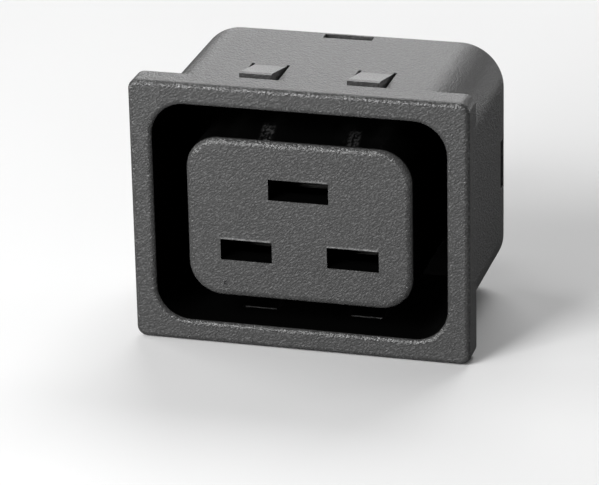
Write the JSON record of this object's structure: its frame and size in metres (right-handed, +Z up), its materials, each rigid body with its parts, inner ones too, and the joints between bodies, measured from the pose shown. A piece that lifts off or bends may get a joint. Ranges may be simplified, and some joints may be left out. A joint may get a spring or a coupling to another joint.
{
  "type": "c19 power connector",
  "caption": "Panel-mount power outlet: a flanged snap-in body with a ring-shaped plug recess, a flush core with flat pin slots, and push-on blades at the rear.",
  "frame": {"origin": "centre of the panel cut-out, in the plane of the flange's rear seating face", "axes": "-Y out of the face towards the plug, +Z up with the earth slot on top, +X to the right seen from the front"},
  "size_m": [0.041, 0.0345, 0.0326],
  "materials": {
    "housing": "fine spark-eroded grain outside, smooth inside the recess",
    "cover": "semi-matt moulded",
    "contact": "tin-plated strip",
    "spring": "bright rolled spring strip"
  },
  "bodies": {
    "root": {"housing": "housing", "rear_cover": "cover", "contact_line": "contact", "contact_neutral": "contact", "contact_earth": "contact", "spring_line": "spring", "spring_neutral": "spring", "spring_earth": "spring"}
  },
  "joints": []
}
